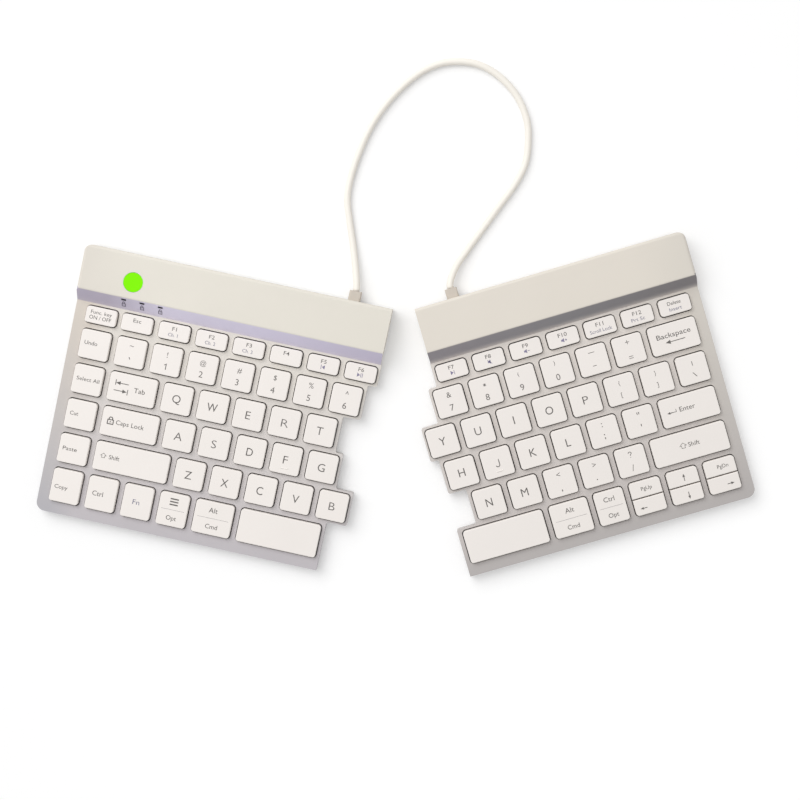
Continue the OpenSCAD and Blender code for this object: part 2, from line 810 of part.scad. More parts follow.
// Screws with a six-sided drive recess
module screws(half) {
    drive_depth = 0.6;
    color(steel_colour)
        half_frame(half)
            for (p = concat(deck_screws[half], hump_screws[half]))
                translate([p[0], p[1], 0])
                    difference() {
                        screw_body();
                        translate([0, 0, base_z - tiny])
                            cylinder(d = screw_d, h = drive_depth, $fn = 6);
                    }
}

module feet_of(half)
    color(rubber_colour)
        half_frame(half)
            for (p = feet[half])
                translate([p[0], p[1], 0])
                    linear_extrude(foot_t)
                        rounded_rect(foot_w, foot_d, foot_d / 2 - tiny);

// Area of the key mechanism, in front of the rear housing
mechanism_rear_y = foot_y - 1;
module mechanism_plan(half, inset)
    plan_band(half, -far, mechanism_rear_y, wall + base_clearance + inset);

module support_plate(half)
    color(steel_colour)
        half_frame(half)
            translate([0, 0, plate_z])
                linear_extrude(plate_t)
                    difference() {
                        mechanism_plan(half, plate_clearance);
                        boss_holes(half);
                    }

module circuit_sheet(half)
    color(sheet_colour)
        half_frame(half)
            translate([0, 0, sheet_z])
                linear_extrude(sheet_t)
                    difference() {
                        mechanism_plan(half, 2 * plate_clearance);
                        boss_holes(half);
                    }

module boss_holes(half)
    for (p = deck_screws[half])
        translate(p)
            circle(d = boss_d + 2 * plate_clearance);

// Wide caps stand on two scissors, the others on one
wide_cap_w = 1.6 * key_pitch_x;
function is_small(k) = k[3] < 0.9 * cap_d;
function scissor_places(k) =
    k[2] > wide_cap_w
        ? [[k[0] - k[2] / 4, k[1]], [k[0] + k[2] / 4, k[1]]]
        : [[k[0], k[1]]];

module domes(half)
    color(dome_colour)
        half_frame(half)
            for (k = keys[half])
                translate([k[0], k[1], mechanism_z])
                    dome(is_small(k) ? small_dome_d : dome_d);

// Rubber dome: hollow cone with a solid post that the cap presses on
module dome(d) {
    h = crown_z - key_clearance - mechanism_z;
    post_r = d / 4;
    post_h = h / 4;
    rim_h = 0.4;
    rotate_extrude()
        polygon([
            [d / 2 - dome_wall, 0],
            [d / 2, 0],
            [d / 2, rim_h],
            [post_r, h - post_h],
            [post_r, h],
            [0, h],
            [0, h - post_h - dome_wall],
            [post_r - dome_wall / 2, h - post_h - dome_wall]
        ]);
}

module scissors(half)
    color(scissor_colour)
        half_frame(half)
            for (k = keys[half], p = scissor_places(k))
                translate([p[0], p[1], (mechanism_z + crown_z) / 2])
                    scissor(is_small(k) ? small_scissor_d : scissor_d);

// Two crossed frames on a common pivot: the inner one carries pins, the outer one has the holes
module scissor(length) {
    reach = (crown_z - mechanism_z) / 2 - key_clearance - scissor_bar / 2;
    tilt = asin(2 * reach / length);
    inner_w = scissor_w - 2 * scissor_bar - 2 * scissor_clearance;
    rotate([tilt, 0, 0])
        difference() {
            scissor_frame(scissor_w, length);
            rotate([0, 90, 0])
                cylinder(d = pivot_d + 2 * screw_clearance, h = 2 * scissor_w, center = true);
        }
    rotate([-tilt, 0, 0]) {
        scissor_frame(inner_w, length);
        for (side = [-1, 1])
            translate([side * (inner_w / 2 + scissor_bar / 2), 0, 0])
                rotate([0, 90, 0])
                    cylinder(d = pivot_d, h = scissor_bar + tiny, center = true);
    }
}

module scissor_frame(w, length)
    difference() {
        cube([w, length, scissor_bar], center = true);
        cube([w - 2 * scissor_bar, length - 2 * scissor_bar, 2 * scissor_bar], center = true);
    }

// Cable grip: block behind the case, a neck through the rear wall and a flange inside it
module cable_grip(half)
    color(grip_colour)
        half_frame(half)
            translate([grip_x[half], rear_y, grip_z]) {
                translate([0, grip_l / 2, 0])
                    along_y(grip_l)
                        rounded_rect(grip_w, grip_h, grip_corner_r);
                translate([0, -wall / 2, 0])
                    cube([neck_w, wall + 2 * tiny, neck_h], center = true);
                translate([0, -wall - flange_t / 2, 0])
                    cube([grip_w, flange_t, grip_h], center = true);
            }

// Link cable: a tube swept along its route
module link_cable() {
    last = len(cable_line) - 1;
    function direction(i) =
        i == 0 ? cable_tangent(0) :
        i == last ? cable_tangent(cable_last) :
        cable_line[i + 1] - cable_line[i - 1];
    function unit(v) = v / norm(v);
    rings = [
        for (i = [0 : last])
            let (along = unit(direction(i)),
                 side = unit(cross(along, [0, 0, 1])),
                 up = cross(side, along))
            [for (j = [0 : cable_sides - 1])
                let (a = 360 * j / cable_sides)
                cable_line[i] + cable_d / 2 * (cos(a) * side + sin(a) * up)]
    ];
    points = [for (ring = rings) each ring];
    function at(ring, j) = ring * cable_sides + j % cable_sides;
    faces = concat(
        [[for (j = [0 : cable_sides - 1]) j]],
        [for (i = [0 : last - 1], j = [0 : cable_sides - 1])
            each [[at(i, j), at(i + 1, j), at(i + 1, j + 1)], [at(i, j), at(i + 1, j + 1), at(i, j + 1)]]],
        [[for (j = [cable_sides - 1 : -1 : 0]) at(last, j)]]);
    color(cable_colour)
        polyhedron(points, faces);
}

// Battery: flat pouch cell with round long edges
module battery()
    color(battery_colour)
        half_frame(LEFT)
            translate([battery_x, battery_y, plate_z + battery_h / 2])
                along_x(battery_w)
                    rounded_rect(battery_d, battery_h, battery_h / 4);

// Controller board, on the posts of the left base cover
module controller_board()
    color(board_colour)
        half_frame(LEFT)
            translate([board_x, (board_front_y + board_rear_y) / 2, board_z])
                linear_extrude(board_t)
                    rounded_rect(board_w, board_rear_y - board_front_y, board_corner_r);

// Light guides: a round lens in the top of the rear housing, and three slots in its slope
module indicator_lamps()
    color(lamp_colour)
        half_frame(LEFT) {
            stem_d = status_lamp_d / 2;
            translate([status_lamp_x, status_lamp_y, hump_z - wall])
                cylinder(d = status_lamp_d, h = wall);
            translate([status_lamp_x, status_lamp_y, board_top_z + key_clearance])
                cylinder(d = stem_d, h = hump_z - wall - board_top_z);
            for (i = [-1, 0, 1])
                lock_lamp(i);
        }

// Lock lamp: a flat bar from the board up through the slope, trimmed to the slope
module lock_lamp(i, room = 0)
    intersection() {
        translate([lock_lamp_x + i * lock_lamp_pitch, lock_lamp_y, 0])
            translate([-lock_lamp_w / 2 - room, -lock_lamp_t / 2 - room, board_top_z + key_clearance])
                cube([lock_lamp_w + 2 * room, lock_lamp_t + 2 * room, hump_z]);
        along_x(2 * far)
            polygon([
                [foot_y, deck_z + room],
                [foot_y, 0],
                [rear_y, 0],
                [rear_y, hump_z + room],
                [top_y, hump_z + room]
            ]);
    }

// Charging socket: a thin round-ended shell with a contact tongue, on the board
module charging_socket()
    color(steel_colour)
        half_frame(LEFT)
            translate([socket_x, rear_y - socket_d / 2, board_top_z + socket_h / 2]) {
                difference() {
                    along_y(socket_d)
                        rounded_rect(socket_w, socket_h, socket_h / 2 - tiny);
                    translate([0, socket_wall * 2, 0])
                        along_y(socket_d)
                            rounded_rect(socket_w - 2 * socket_wall, socket_h - 2 * socket_wall,
                                         socket_h / 2 - socket_wall - tiny);
                }
                tongue_l = 0.7 * socket_d;
                tongue_w = 0.75 * socket_w;
                tongue_t = 0.7;
                translate([0, -socket_d / 2 + tongue_l / 2 + socket_wall, 0])
                    cube([tongue_w, tongue_l, tongue_t], center = true);
            }

// Power switch: a slider that shows in the rear wall, flush with it
module power_switch()
    color(rubber_colour)
        half_frame(LEFT)
            translate([switch_x - (switch_travel + switch_w) / 2,
                       rear_y - slider_d - wall,
                       board_top_z + key_clearance])
                cube([switch_w, slider_d + wall, switch_h - key_clearance]);

base_cover(LEFT);  // left_base_cover
deck(LEFT);  // left_deck
rear_cover(LEFT);  // left_rear_cover
support_plate(LEFT);  // left_support_plate
circuit_sheet(LEFT);  // left_circuit_sheet
domes(LEFT);  // left_domes
scissors(LEFT);  // left_scissors
feet_of(LEFT);  // left_feet
screws(LEFT);  // left_screws
cable_grip(LEFT);  // left_cable_grip
base_cover(RIGHT);  // right_base_cover
deck(RIGHT);  // right_deck
rear_cover(RIGHT);  // right_rear_cover
support_plate(RIGHT);  // right_support_plate
circuit_sheet(RIGHT);  // right_circuit_sheet
domes(RIGHT);  // right_domes
scissors(RIGHT);  // right_scissors
feet_of(RIGHT);  // right_feet
screws(RIGHT);  // right_screws
cable_grip(RIGHT);  // right_cable_grip
battery();
controller_board();
indicator_lamps();
charging_socket();
power_switch();
link_cable();
caps(LEFT, left_function_row);  // left_function_keys
caps(LEFT, left_number_row);  // left_number_keys
caps(LEFT, left_control);  // left_control_keys
caps(LEFT, left_space_keys);  // left_space
caps(RIGHT, right_function_row);  // right_function_keys
caps(RIGHT, right_signs);  // right_number_and_sign_keys
caps(RIGHT, right_control);  // right_control_keys
caps(RIGHT, right_space_keys);  // right_space
for (i = [0 : len(left_letters) - 1])
    letter_key(LEFT, left_letters[i], left_letter_names[i]);
for (i = [0 : len(right_letters) - 1])
    letter_key(RIGHT, right_letters[i], right_letter_names[i]);
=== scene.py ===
"""Looks of an ergonomic split keyboard: two flat halves, a raised housing on each, and a link cable."""
import json
import math

import bmesh
import bpy
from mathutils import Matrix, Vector


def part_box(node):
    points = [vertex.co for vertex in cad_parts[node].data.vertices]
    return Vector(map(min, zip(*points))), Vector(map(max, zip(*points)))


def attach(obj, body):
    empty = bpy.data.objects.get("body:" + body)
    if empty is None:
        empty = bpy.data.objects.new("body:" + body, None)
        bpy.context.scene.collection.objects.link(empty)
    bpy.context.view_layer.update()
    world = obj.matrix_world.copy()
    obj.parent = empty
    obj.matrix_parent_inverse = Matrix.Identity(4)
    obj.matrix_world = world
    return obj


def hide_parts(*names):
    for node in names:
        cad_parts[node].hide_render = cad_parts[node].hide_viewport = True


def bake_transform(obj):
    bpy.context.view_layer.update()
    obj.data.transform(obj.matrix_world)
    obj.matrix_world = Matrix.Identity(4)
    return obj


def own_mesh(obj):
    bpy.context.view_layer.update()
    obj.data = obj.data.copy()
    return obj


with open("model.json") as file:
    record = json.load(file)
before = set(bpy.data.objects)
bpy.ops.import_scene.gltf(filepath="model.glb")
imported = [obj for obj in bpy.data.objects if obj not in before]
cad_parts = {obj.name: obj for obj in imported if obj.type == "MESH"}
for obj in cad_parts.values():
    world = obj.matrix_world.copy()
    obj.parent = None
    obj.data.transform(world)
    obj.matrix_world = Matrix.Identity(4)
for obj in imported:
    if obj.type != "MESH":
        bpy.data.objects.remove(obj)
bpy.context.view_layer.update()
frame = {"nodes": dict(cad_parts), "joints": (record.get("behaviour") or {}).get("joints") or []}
nodes = frame["nodes"]
sides = ("left", "right")
mm = 0.001


# Base covers
# A thin moulded plate closes each half from below, inside the rim of the covers.
# It is the same plastic as the case, in a rougher tool finish, because it faces the desk.
class Shade:
    """A shader socket in Python sums: operators add Math nodes, make() adds any other node."""

    def __init__(self, tree, socket=None):
        self.tree = tree
        self.socket = socket

    def make(self, kind, settings=None, sockets=None, out=0):
        node = self.tree.nodes.new("ShaderNode" + kind)
        for name, value in (settings or {}).items():
            if name == "stops":
                set_stops(node.color_ramp, value)
            else:
                setattr(node, name, value)
        for name, value in (sockets or {}).items():
            if isinstance(value, Shade):
                self.tree.links.new(value.socket, node.inputs[name])
            else:
                node.inputs[name].default_value = value
        return Shade(self.tree, node.outputs[out])

    def math(self, operation, first, second, clamp=False):
        settings = {"operation": operation, "use_clamp": clamp}
        return self.make("Math", settings, {0: first, 1: second})

    def __add__(self, other):
        return self.math("ADD", self, other)

    def __sub__(self, other):
        return self.math("SUBTRACT", self, other)

    def __rsub__(self, other):
        return self.math("SUBTRACT", other, self)

    def __mul__(self, other):
        return self.math("MULTIPLY", self, other)

    def __rmul__(self, other):
        return self.math("MULTIPLY", other, self)

    def __gt__(self, other):
        return self.math("GREATER_THAN", self, other)


def set_stops(ramp, stops):
    """Gives a colour ramp its stops, each a place and a colour."""
    while len(ramp.elements) < len(stops):
        ramp.elements.new(1.0)
    for element, (place, tint) in zip(ramp.elements, stops):
        element.position = place
        element.color = tint


def colour(red, green, blue):
    """A colour written in the screen's 0 to 255 values, as linear light."""
    def linear(value):
        share = value / 255
        return share / 12.92 if share <= 0.04045 else ((share + 0.055) / 1.055) ** 2.4
    return (linear(red), linear(green), linear(blue), 1.0)


def scaled(tint, factor):
    """The same hue, lighter or darker."""
    return (tint[0] * factor, tint[1] * factor, tint[2] * factor, 1.0)


def new_finish(name):
    """An empty material: its Principled shader, and a Shade of the piece's own coordinates."""
    material = bpy.data.materials.new(name)
    material.use_nodes = True
    tree = material.node_tree
    principled = tree.nodes["Principled BSDF"]
    place = Shade(tree).make("TexCoord", out="Object")
    return material, principled, place


def feed(principled, socket, value):
    """Links a Shade to one of the shader's sockets."""
    value.tree.links.new(value.socket, principled.inputs[socket])


def speckle(place, scale, detail=2.0):
    """Soft noise from 0 to 1, with about scale cells in a metre."""
    return place.make("TexNoise", None, {"Vector": place, "Scale": scale, "Detail": detail}, "Fac")


def between(place, mask, first, second):
    """A colour that goes from the first to the second as the mask goes from 0 to 1."""
    return place.make("Mix", {"data_type": "RGBA"}, {"Factor": mask, "A": first, "B": second}, "Result")


def relief(place, principled, height, depth):
    """Turns a height pattern into small relief, depth metres deep."""
    bump = place.make("Bump", None, {"Height": height, "Strength": 1.0, "Distance": depth}, "Normal")
    feed(principled, "Normal", bump)


def moulded(name, tint, roughness, texture_depth, texture_scale=5200.0, toned=None):
    """Moulded plastic: faint clouds of colour, a fine spark-eroded texture and uneven sheen.

    Noise averages one half, so half of what it adds to the roughness comes off again.
    """
    cloud_scale, cloud_share = 45.0, 0.06
    cloud_tint = (0.2, 0.2, 0.2, 1.0)
    sheen_by_texture, sheen_by_clouds = 0.16, 0.08
    material, principled, place = new_finish(name)
    clouds = speckle(place, cloud_scale, detail=4.0)
    texture = speckle(place, texture_scale)
    pigment = toned(place) if toned else tint
    shaded = place.make("Mix", {"data_type": "RGBA", "blend_type": "MULTIPLY"},
                        {"Factor": clouds * cloud_share, "A": pigment, "B": cloud_tint}, "Result")
    feed(principled, "Base Color", shaded)
    least = roughness - (sheen_by_texture + sheen_by_clouds) / 2
    feed(principled, "Roughness", texture * sheen_by_texture + clouds * sheen_by_clouds + least)
    relief(place, principled, texture, texture_depth)
    return material


def dress(name, material):
    """Gives a node of the frame its finish."""
    if not nodes[name].material_slots:
        nodes[name].data.materials.append(material)
    for slot in nodes[name].material_slots:
        slot.link = "OBJECT"
        slot.material = material


base_finish = moulded("base plastic", colour(206, 199, 190), 0.62, 0.06 * mm, 2600.0)
for side in sides:
    dress(side + "_base_cover", base_finish)


# Feet and case screws
# Each half stands on four stuck-on rubber pads, and four countersunk steel screws hold it together.
# The rubber is cut from sheet, so it shows a dull, slightly dusty grain.
def drawn_steel(name, tint, roughness):
    """Bare steel with fine drawn lines along one way."""
    along_lines, across_lines = 40.0, 3000.0
    stretch = (along_lines, across_lines, along_lines)
    material, principled, place = new_finish(name)
    stretched = place.make("Mapping", None, {"Vector": place, "Scale": stretch})
    lines = speckle(stretched, 1.0, detail=3.0)
    feed(principled, "Base Color", between(place, lines, scaled(tint, 0.85), tint))
    feed(principled, "Roughness", lines * 0.2 + roughness)
    principled.inputs["Metallic"].default_value = 1.0
    relief(place, principled, lines, 0.01 * mm)
    return material


foot_finish = moulded("foot rubber", colour(120, 117, 114), 0.85, 0.10 * mm, 1800.0)
screw_finish = drawn_steel("screw steel", colour(196, 197, 199), 0.25)
for side in sides:
    dress(side + "_feet", foot_finish)
    dress(side + "_screws", screw_finish)


# Key mechanism
# Under the caps lie a steel plate, a printed circuit sheet, rubber domes and crossed scissor frames.
# Only a dark gap shows round each cap. The pieces are finished as they are on a bench, save that the
# circuit film's dark grey is partly painted shade for those gaps.
def printed_film(name, film, trace):
    """Film or board with printed conductor lines."""
    line_edge = 0.72
    material, principled, place = new_finish(name)
    lines = place.make("TexWave", {"wave_type": "BANDS", "bands_direction": "DIAGONAL"},
                       {"Vector": place, "Scale": 90.0, "Distortion": 6.0, "Detail": 1.0}, "Fac")
    printed = lines > line_edge
    feed(principled, "Base Color", between(place, printed, film, trace))
    feed(principled, "Roughness", 0.5 - 0.2 * printed)
    relief(place, principled, printed, 0.02 * mm)
    return material


plate_finish = drawn_steel("support plate steel", colour(150, 152, 155), 0.35)
# The circuit film's dark grey is partly its own colour and partly painted shade in the gaps round the
# caps
sheet_finish = printed_film("circuit film", colour(62, 60, 58), colour(88, 86, 84))
dome_finish = moulded("dome silicone", colour(206, 208, 210), 0.42, 0.01 * mm, 900.0)
scissor_finish = moulded("scissor plastic", colour(206, 205, 202), 0.38, 0.01 * mm, 3000.0)
for side in sides:
    dress(side + "_support_plate", plate_finish)
    dress(side + "_circuit_sheet", sheet_finish)


# Controller board, battery, charging socket and power switch
# They sit in the left rear housing, and only the socket's mouth and the switch's slider show behind.
# The board is green solder mask with tracks, the battery a foil pouch, the socket a drawn steel shell.
dress("controller_board", printed_film("board solder mask", colour(38, 92, 58), colour(70, 128, 86)))
dress("battery", drawn_steel("battery foil", colour(190, 193, 197), 0.32))
dress("charging_socket", drawn_steel("socket shell steel", colour(205, 206, 208), 0.22))
dress("power_switch", moulded("switch plastic", colour(96, 94, 92), 0.5, 0.02 * mm))


# Decks
# The deck is one moulding for each half: a plate with a well for every key, a skirt round the edge
# and steps along the inner side that follow the rows. Its warm grey carries painted shade: it turns
# cooler and darker towards the front and darker at the rim, and the halves' tints differ a little as
# painted light.
# Each pair of tints is for the front and for the foot of the housing.
deck_shade_tints = {"left": (colour(195, 190, 194), colour(227, 222, 214)),
              "right": (colour(197, 191, 189), colour(223, 217, 211))}
rim_shade_tints = {"left": (colour(183, 181, 186), colour(216, 207, 196)),
             "right": (colour(187, 182, 180), colour(217, 211, 202))}
rim_shade_start, rim_shade_end = 20 * mm, 7 * mm
row_ends = {"left": ("key_a", "key_g"), "right": ("key_h", "key_l")}


def middle(name):
    """Middle of a node's box."""
    low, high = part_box(name)
    return (low + high) / 2


def half_axes(side):
    """Directions of a half, from its home row: along the rows, and across them to the rear."""
    first, last = row_ends[side]
    along = middle(last) - middle(first)
    along = Vector((along.x, along.y, 0)).normalized()
    return along, Vector((-along.y, along.x, 0))


def span(name, axis):
    """Least and greatest reach of a node along an axis."""
    reaches = [axis.dot(point.co) for point in nodes[name].data.vertices]
    return min(reaches), max(reaches)


def share_along(place, axis, start, end):
    """How far a point lies from start to end along an axis, from 0 to 1."""
    reach = place.make("VectorMath", {"operation": "DOT_PRODUCT"}, {0: place, 1: axis}, "Value")
    return place.math("MULTIPLY", reach - start, 1 / (end - start), clamp=True)


def broken_edges(name, width):
    """Breaks the sharp edges of a node by a small radius, as a moulding tool leaves them."""
    weld = nodes[name].modifiers.new("joined corners", "WELD")
    weld.merge_threshold = 0.002 * mm
    bevel = nodes[name].modifiers.new("broken edges", "BEVEL")
    bevel.width = width
    bevel.segments = 2
    bevel.limit_method = "ANGLE"
    bevel.angle_limit = math.radians(35)
    bevel.harden_normals = True


def deck_finish(side):
    """Deck plastic with painted shade: its tint darkens towards the front of the half and towards its
    rim.
    """
    along, across = half_axes(side)
    front = span(side + "_deck", across)[0]
    foot = span(side + "_rear_cover", across)[0]
    left_end, right_end = span(side + "_deck", along)

    def toned(place):
        # Painted shade: the tint darkens from the foot of the housing towards the front
        depth = share_along(place, across, front, foot)
        field = between(place, depth, *deck_shade_tints[side])
        rim = between(place, depth, *rim_shade_tints[side])
        # Painted shade along the rim: the outer end, and on the right half also the front
        if side == "left":
            rim_shade_mask = share_along(place, along, left_end + rim_shade_start, left_end + rim_shade_end)
        else:
            end_shade_mask = share_along(place, along, right_end - rim_shade_start, right_end - rim_shade_end)
            front_rim_shade_mask = share_along(place, across, front + rim_shade_start, front + rim_shade_end)
            rim_shade_mask = place.math("MAXIMUM", end_shade_mask, front_rim_shade_mask)
        return between(place, rim_shade_mask, field, rim)

    return moulded(side + " deck plastic", None, 0.55, 0.02 * mm, toned=toned)


for side in sides:
    dress(side + "_deck", deck_finish(side))
    broken_edges(side + "_deck", 0.25 * mm)


# Rear housings
# A moulded cover stands up behind the keys on each half, with a flat top and a sloping front.
# The slope carries painted light: a lilac painted reflection on the left half, greyer towards its ends,
# and painted shade in dark grey on the right; both fade to their foot. Painted shade darkens each top
# towards its outer end, and the two halves' tints differ a little as painted light.
housing_tints = {"left": colour(231, 226, 215), "right": colour(230, 223, 212)}
housing_end_shade_tint = colour(222, 216, 206)
slope_d = 6.2 * mm
slope_painted_light = {
    "left": [(0.10, colour(195, 187, 205)), (0.28, colour(234, 228, 248)),
             (0.60, colour(232, 226, 248)), (1.0, colour(211, 204, 226))],
    "right": [(0.0, colour(157, 152, 158)), (0.5, colour(147, 145, 149)), (1.0, colour(136, 132, 134))],
}
slope_foot_painted_tints = {"left": colour(220, 215, 220), "right": colour(226, 219, 214)}
slope_foot_shares = {"left": 0.4, "right": 0.8}
slope_foot_d = 0.45 * slope_d
# Just behind the slope the band's painted light gives way to the top's tint
band_full_d, band_end_d = 1.1 * slope_d, 1.15 * slope_d
# How far a face looks up: above the first it is the flat top, below the second a wall
level_tilt, wall_tilt = 0.92, 0.3
tilt_gain = 5.0
# The share of the top's length over which painted shade darkens it towards its outer end
shaded_end_share = 0.28


def housing_finish(side):
    """Housing plastic whose slope, found by its place and its tilt, carries painted light, and whose top
    has painted shade towards its outer end.
    """
    along, across = half_axes(side)
    cover = side + "_rear_cover"
    outer, inner = span(cover, along)
    foot = span(cover, across)[0]

    def toned(place):
        # The slope's painted reflection and painted shade, along the half and fading to its foot
        band = place.make("ValToRGB", {"stops": slope_painted_light[side]},
                          {"Fac": share_along(place, along, outer, inner)}, "Color")
        rise = share_along(place, across, foot, foot + slope_foot_d)
        fade = (1 - rise) * (1 - rise) * slope_foot_shares[side]
        faded = between(place, fade, band, slope_foot_painted_tints[side])
        normal = place.make("NewGeometry", out="Normal")
        tilt = place.make("SeparateXYZ", None, {0: normal}, "Z")
        outward = share_along(place, along, inner, outer)
        outward = outward if side == "left" else 1 - outward
        # Painted shade on the top towards its outer end
        end_shade_mask = place.math("MULTIPLY", outward - (1 - shaded_end_share), 1 / shaded_end_share, clamp=True)
        top = between(place, end_shade_mask * end_shade_mask, housing_tints[side], housing_end_shade_tint)
        in_front = share_along(place, across, foot + band_end_d, foot + band_full_d)
        sloping = place.math("MULTIPLY", level_tilt - tilt, tilt_gain, clamp=True) * (tilt > wall_tilt)
        return between(place, sloping * in_front, top, faded)

    return moulded(side + " housing plastic", None, 0.5, 0.015 * mm, toned=toned)


for side in sides:
    dress(side + "_rear_cover", housing_finish(side))


# Lamps
# Clear light guides carry light from the board: a round one in the housing's top glows green,
# and three flat ones in the slope are dark until a lock is on.
def light_guide(name, tint, strength):
    """Moulded light guide: lit where it is level with the housing's top, and dark below that."""
    lens_depth = 0.5 * mm
    pigment_share = 0.05
    material, principled, place = new_finish(name)
    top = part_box("indicator_lamps")[1].z
    clouds = speckle(place, 400.0)
    lit = place.make("SeparateXYZ", None, {0: place}, "Z") > top - lens_depth
    dark = colour(62, 58, 70)
    feed(principled, "Base Color", between(place, lit, dark, scaled(tint, pigment_share)))
    principled.inputs["Specular IOR Level"].default_value = 0.05
    feed(principled, "Emission Color", between(place, lit, (0, 0, 0, 1), tint))
    principled.inputs["Emission Strength"].default_value = strength
    feed(principled, "Roughness", clouds * 0.1 + 0.3)
    return material


dress("indicator_lamps", light_guide("lamp light guide", colour(132, 246, 8), 0.98))


# Key caps
# Each cap is a hollow moulding in near-white plastic with a smooth satin top and rounded edges.
# A letter's cap stands alone, and keys of one kind share a node.
cap_finish = moulded("cap plastic", colour(246, 240, 235), 0.45, 0.006 * mm)
key_bodies = [joint["child"] for joint in frame["joints"] if joint["name"].endswith("_press")]
for name in key_bodies:
    dress(name, cap_finish)


# Domes and scissors
# Each cap stands on its own rubber dome and on one or two scissor frames, which flatten as it goes down.
# Those under the caps of one body are one piece, held by the half.
# Corners nearer than these are one corner, in a node's mesh and in a drawn shape
weld_gap = 0.005 * mm
corner_gap = 0.002 * mm


def solids_in(name):
    """A node's separate solids, each a list of faces, and each face a list of corners."""
    shape = bmesh.new()
    shape.from_mesh(nodes[name].data)
    bmesh.ops.remove_doubles(shape, verts=shape.verts, dist=weld_gap)
    shape.faces.index_update()
    found = set()
    solids = []
    for first in shape.faces:
        if first.index in found:
            continue
        found.add(first.index)
        island = [first]
        for face in island:
            for edge in face.edges:
                for neighbour in edge.link_faces:
                    if neighbour.index not in found:
                        found.add(neighbour.index)
                        island.append(neighbour)
        solids.append([[corner.co.copy() for corner in face.verts] for face in island])
    shape.free()
    return solids


def plan_of(solid, axes):
    """Least and greatest reach of a solid along the rows, and then across them."""
    ends = []
    for axis in axes:
        reaches = [axis.dot(corner) for face in solid for corner in face]
        ends += [min(reaches), max(reaches)]
    return ends


def middle_of(plan):
    """Middle of a plan, along the rows and across them."""
    left, right, front, rear = plan
    return (left + right) / 2, (front + rear) / 2


def side_of(name):
    """The half that a node lies on."""
    return "left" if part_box(name)[1].x < 0 else "right"


def new_piece(name, shape):
    """Makes a drawn shape an object of the scene."""
    mesh = bpy.data.meshes.new(name)
    shape.to_mesh(mesh)
    shape.free()
    piece = bpy.data.objects.new(name, mesh)
    bpy.context.scene.collection.objects.link(piece)
    return piece


def joined_piece(name, solids):
    """One piece of all these solids."""
    shape = bmesh.new()
    for solid in solids:
        for face in solid:
            shape.faces.new([shape.verts.new(corner) for corner in face])
    bmesh.ops.remove_doubles(shape, verts=shape.verts, dist=corner_gap)
    return new_piece(name, shape)


def lay_springs(side, kind, finish):
    """Splits a half's domes or scissors by the cap above them into one piece for each cap body, held by
    the half.
    """
    node = side + "_" + kind
    axes = half_axes(side)
    under = {name: [] for name in key_bodies if side_of(name) == side}
    caps = [(name, plan_of(cap, axes)) for name in under for cap in solids_in(name)]
    for solid in solids_in(node):
        reach, depth = middle_of(plan_of(solid, axes))
        for name, (left, right, front, rear) in caps:
            if left < reach < right and front < depth < rear:
                under[name].append(solid)
                break
    for name, solids in under.items():
        piece = joined_piece(kind + "_under_" + name, solids)
        piece.data.materials.append(finish)
        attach(piece, side + "_half")
        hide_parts(node)
        name + "_press"
        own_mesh(piece)


for side in sides:
    lay_springs(side, "domes", dome_finish)
    lay_springs(side, "scissors", scissor_finish)


# Printed legends
# Letters, digits and signs are printed on the caps in thin grey ink, and second functions in violet.
# Each cap's print is a thin layer of its own that goes down with the cap.
GREY, VIOLET, DARK, PALE, MIST = 0, 1, 2, 3, 4
print_gap = 0.03 * mm
# Line width, and heights of capitals: letters, lower words of front keys, top row and second functions
stroke = 0.3
letter_h, front_h, top_h, second_h = 4.1, 2.3, 1.95, 1.75
# A top-row key has its name behind the middle line and its second function in front of it
name_y, second_y = 1.6, -1.6
icon_rear, icon_middle, icon_front = -0.2, -1.3, -2.4
# How far outlines are thickened: a letter that is drawn wider gets wider strokes anyway, so it gets less
word_weight, letter_weight, weight_by_width = 0.003, 0.034, 0.036


def printed_ink(name, tint):
    """Screen ink: nearly even, with a slight dry texture."""
    material, principled, place = new_finish(name)
    clouds = speckle(place, 900.0, detail=3.0)
    feed(principled, "Base Color", between(place, clouds, scaled(tint, 0.9), scaled(tint, 1.1)))
    feed(principled, "Roughness", clouds * 0.15 + 0.5)
    return material


inks = [printed_ink("grey ink", colour(106, 102, 99)), printed_ink("violet ink", colour(133, 127, 156)),
        printed_ink("dark ink", colour(94, 88, 106)), printed_ink("pale ink", colour(160, 156, 157)),
        printed_ink("misty ink", colour(135, 134, 152))]


def faces_of_words(text, weight=0.0):
    """Flat faces of a word, in the font's own units; weight thickens its strokes."""
    script = bpy.data.curves.new("words", "FONT")
    script.body = text
    script.resolution_u = 3
    script.offset = weight
    carrier = bpy.data.objects.new("words", script)
    mesh = bpy.data.meshes.new_from_object(carrier)
    corners = [(point.co.x, point.co.y) for point in mesh.vertices]
    faces = [[corners[index] for index in face.vertices] for face in mesh.polygons]
    bpy.data.objects.remove(carrier)
    bpy.data.curves.remove(script)
    bpy.data.meshes.remove(mesh)
    return faces


capital_h = max(y for face in faces_of_words("H") for x, y in face)


def word(text, height, x=0.0, y=0.0, anchor=0.5, ink=GREY, widen=1.0):
    """A word with capitals this high; anchor 0 starts it at x, 0.5 sets its middle there."""
    weight = letter_weight - weight_by_width * widen if len(text) == 1 else word_weight
    faces = faces_of_words(text, weight)
    scale = height / capital_h
    left = min(px for face in faces for px, py in face)
    width = max(px for face in faces for px, py in face) - left
    return [(ink, [(x + (px - left - anchor * width) * scale * widen, y + (py - capital_h / 2) * scale)
                   for px, py in face]) for face in faces]


def filled(points, ink=GREY):
    """A plain filled shape."""
    return [(ink, points)]


